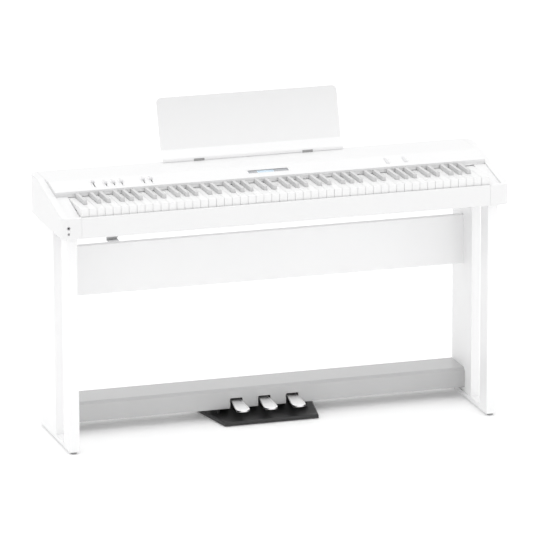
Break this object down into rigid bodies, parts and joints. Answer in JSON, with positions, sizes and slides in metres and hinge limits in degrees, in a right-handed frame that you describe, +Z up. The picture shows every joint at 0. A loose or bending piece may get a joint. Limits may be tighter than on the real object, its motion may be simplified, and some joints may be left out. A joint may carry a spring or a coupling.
{
  "type": "digital piano on stand",
  "caption": "White full-size digital piano with music rest and sliders on a panel stand with a pedal bar and metal pedals.",
  "frame": {"origin": "on the floor, at the middle of the whole object's width and depth, music rest included", "axes": "+X along the keyboard towards the treble end, +Y towards the back, +Z up"},
  "size_m": [1.34, 0.4058, 0.9389],
  "materials": {
    "case_white": "fine satin moulding",
    "board_white": "satin white laminate on particle board",
    "bar_grey": "satin light grey laminate",
    "strip_grey": "satin grey",
    "natural_key": "smooth semi gloss",
    "sharp_key": "matt light grey",
    "slider_cap": "satin",
    "rocker_grey": "satin",
    "display_glass": "clear polished",
    "display_panel": "lit liquid crystal",
    "jack_dark": "gloss dark",
    "hook_grey": "satin dark",
    "rest_white": "satin",
    "pad_dark": "matt",
    "steel": "brushed",
    "frame_metal": "zinc plated",
    "circuit_board": "solder resist",
    "pedal_metal": "brushed with a polished rim",
    "base_black": "textured black powder coat",
    "glide_black": "matt",
    "dowel_wood": "plain beech"
  },
  "bodies": {
    "body": {"bottom_case": "case_white", "left_end_block": "case_white", "right_end_block": "case_white", "front_rail": "case_white", "rear_panel": "case_white", "rear_sockets": "jack_dark", "top_cover": "case_white", "fallboard_strip": "strip_grey", "display_window": "display_glass", "display_screen": "display_panel", "control_board": "circuit_board", "phones_jacks": "jack_dark", "headphone_hook": "hook_grey", "key_pivot_rod": "steel", "key_frame": "frame_metal", "key_contact_board": "circuit_board", "main_board": "circuit_board", "speakers": "frame_metal", "music_rest": "rest_white", "rest_pads": "pad_dark", "left_rear_board": "board_white", "right_rear_board": "board_white", "left_front_post": "board_white", "right_front_post": "board_white", "base_rails": "board_white", "top_rails": "board_white", "stand_screws": "steel", "back_panel": "board_white", "panel_top_strip": "strip_grey", "floor_glides": "glide_black", "pedal_bar": "bar_grey", "panel_dowels": "dowel_wood", "pedal_base": "base_black", "base_feet": "glide_black", "pedal_pivot_rod": "steel", "pedal_springs": "steel"},
    "keys_c": {"keys_c": "natural_key"},
    "keys_d": {"keys_d": "natural_key"},
    "keys_e": {"keys_e": "natural_key"},
    "keys_f": {"keys_f": "natural_key"},
    "keys_g": {"keys_g": "natural_key"},
    "keys_a": {"keys_a": "natural_key"},
    "keys_b": {"keys_b": "natural_key"},
    "keys_c_sharp": {"keys_c_sharp": "sharp_key"},
    "keys_d_sharp": {"keys_d_sharp": "sharp_key"},
    "keys_f_sharp": {"keys_f_sharp": "sharp_key"},
    "keys_g_sharp": {"keys_g_sharp": "sharp_key"},
    "keys_a_sharp": {"keys_a_sharp": "sharp_key"},
    "volume_slider": {"volume_slider": "slider_cap"},
    "low_slider": {"low_slider": "slider_cap"},
    "middle_slider": {"middle_slider": "slider_cap"},
    "high_slider": {"high_slider": "slider_cap"},
    "layer_slider": {"layer_slider": "slider_cap"},
    "balance_slider": {"balance_slider": "slider_cap"},
    "value_rocker": {"value_rocker": "rocker_grey"},
    "mode_rocker": {"mode_rocker": "rocker_grey"},
    "power_button": {"power_button": "slider_cap"},
    "left_pedal": {"left_pedal": "pedal_metal"},
    "middle_pedal": {"middle_pedal": "pedal_metal"},
    "right_pedal": {"right_pedal": "pedal_metal"}
  },
  "joints": [
    {"name": "key_c_press", "type": "hinge", "parent": "body", "child": "keys_c", "pos_m": [0, 0.04209, 0.7212], "axis": [1, 0, 0], "range_deg": [0, 2.43], "stiffness_Nm_per_rad": 6, "springref_deg": -11.46},
    {"name": "key_d_press", "type": "hinge", "parent": "body", "child": "keys_d", "pos_m": [0, 0.04209, 0.7212], "axis": [1, 0, 0], "range_deg": [0, 2.43], "stiffness_Nm_per_rad": 6, "springref_deg": -11.46},
    {"name": "key_e_press", "type": "hinge", "parent": "body", "child": "keys_e", "pos_m": [0, 0.04209, 0.7212], "axis": [1, 0, 0], "range_deg": [0, 2.43], "stiffness_Nm_per_rad": 6, "springref_deg": -11.46},
    {"name": "key_f_press", "type": "hinge", "parent": "body", "child": "keys_f", "pos_m": [0, 0.04209, 0.7212], "axis": [1, 0, 0], "range_deg": [0, 2.43], "stiffness_Nm_per_rad": 6, "springref_deg": -11.46},
    {"name": "key_g_press", "type": "hinge", "parent": "body", "child": "keys_g", "pos_m": [0, 0.04209, 0.7212], "axis": [1, 0, 0], "range_deg": [0, 2.43], "stiffness_Nm_per_rad": 6, "springref_deg": -11.46},
    {"name": "key_a_press", "type": "hinge", "parent": "body", "child": "keys_a", "pos_m": [0, 0.04209, 0.7212], "axis": [1, 0, 0], "range_deg": [0, 2.43], "stiffness_Nm_per_rad": 6, "springref_deg": -11.46},
    {"name": "key_b_press", "type": "hinge", "parent": "body", "child": "keys_b", "pos_m": [0, 0.04209, 0.7212], "axis": [1, 0, 0], "range_deg": [0, 2.43], "stiffness_Nm_per_rad": 6, "springref_deg": -11.46},
    {"name": "key_c_sharp_press", "type": "hinge", "parent": "body", "child": "keys_c_sharp", "pos_m": [0, 0.04209, 0.7212], "axis": [1, 0, 0], "range_deg": [0, 2.43], "stiffness_Nm_per_rad": 6, "springref_deg": -11.46},
    {"name": "key_d_sharp_press", "type": "hinge", "parent": "body", "child": "keys_d_sharp", "pos_m": [0, 0.04209, 0.7212], "axis": [1, 0, 0], "range_deg": [0, 2.43], "stiffness_Nm_per_rad": 6, "springref_deg": -11.46},
    {"name": "key_f_sharp_press", "type": "hinge", "parent": "body", "child": "keys_f_sharp", "pos_m": [0, 0.04209, 0.7212], "axis": [1, 0, 0], "range_deg": [0, 2.43], "stiffness_Nm_per_rad": 6, "springref_deg": -11.46},
    {"name": "key_g_sharp_press", "type": "hinge", "parent": "body", "child": "keys_g_sharp", "pos_m": [0, 0.04209, 0.7212], "axis": [1, 0, 0], "range_deg": [0, 2.43], "stiffness_Nm_per_rad": 6, "springref_deg": -11.46},
    {"name": "key_a_sharp_press", "type": "hinge", "parent": "body", "child": "keys_a_sharp", "pos_m": [0, 0.04209, 0.7212], "axis": [1, 0, 0], "range_deg": [0, 2.43], "stiffness_Nm_per_rad": 6, "springref_deg": -11.46},
    {"name": "volume_slider_slide", "type": "slide", "parent": "body", "child": "volume_slider", "axis": [0, 0.9795, 0.2013], "range_m": [-0.024, 0]},
    {"name": "low_slider_slide", "type": "slide", "parent": "body", "child": "low_slider", "axis": [0, 0.9795, 0.2013], "range_m": [-0.012, 0.012]},
    {"name": "middle_slider_slide", "type": "slide", "parent": "body", "child": "middle_slider", "axis": [0, 0.9795, 0.2013], "range_m": [-0.012, 0.012]},
    {"name": "high_slider_slide", "type": "slide", "parent": "body", "child": "high_slider", "axis": [0, 0.9795, 0.2013], "range_m": [-0.012, 0.012]},
    {"name": "layer_slider_slide", "type": "slide", "parent": "body", "child": "layer_slider", "axis": [0, 0.9795, 0.2013], "range_m": [-0.015, 0.009]},
    {"name": "balance_slider_slide", "type": "slide", "parent": "body", "child": "balance_slider", "axis": [0, 0.9795, 0.2013], "range_m": [-0.015, 0.009]},
    {"name": "value_rocker_press", "type": "slide", "parent": "body", "child": "value_rocker", "axis": [0, 0.2013, -0.9795], "range_m": [0, 0.0012], "stiffness_N_per_m": 400, "springref_m": -0.001},
    {"name": "mode_rocker_press", "type": "slide", "parent": "body", "child": "mode_rocker", "axis": [0, 0.2013, -0.9795], "range_m": [0, 0.0012], "stiffness_N_per_m": 400, "springref_m": -0.001},
    {"name": "power_button_press", "type": "slide", "parent": "body", "child": "power_button", "axis": [0, -1, 0], "range_m": [0, 0.002], "stiffness_N_per_m": 400, "springref_m": -0.001},
    {"name": "left_pedal_press", "type": "hinge", "parent": "body", "child": "left_pedal", "pos_m": [0, 0.11809, 0.06597], "axis": [1, 0, 0], "range_deg": [0, 5.45], "stiffness_Nm_per_rad": 14, "springref_deg": -5.73},
    {"name": "middle_pedal_press", "type": "hinge", "parent": "body", "child": "middle_pedal", "pos_m": [0, 0.11809, 0.06597], "axis": [1, 0, 0], "range_deg": [0, 5.45], "stiffness_Nm_per_rad": 14, "springref_deg": -5.73},
    {"name": "right_pedal_press", "type": "hinge", "parent": "body", "child": "right_pedal", "pos_m": [0, 0.11809, 0.06597], "axis": [1, 0, 0], "range_deg": [0, 5.45], "stiffness_Nm_per_rad": 14, "springref_deg": -5.73}
  ]
}
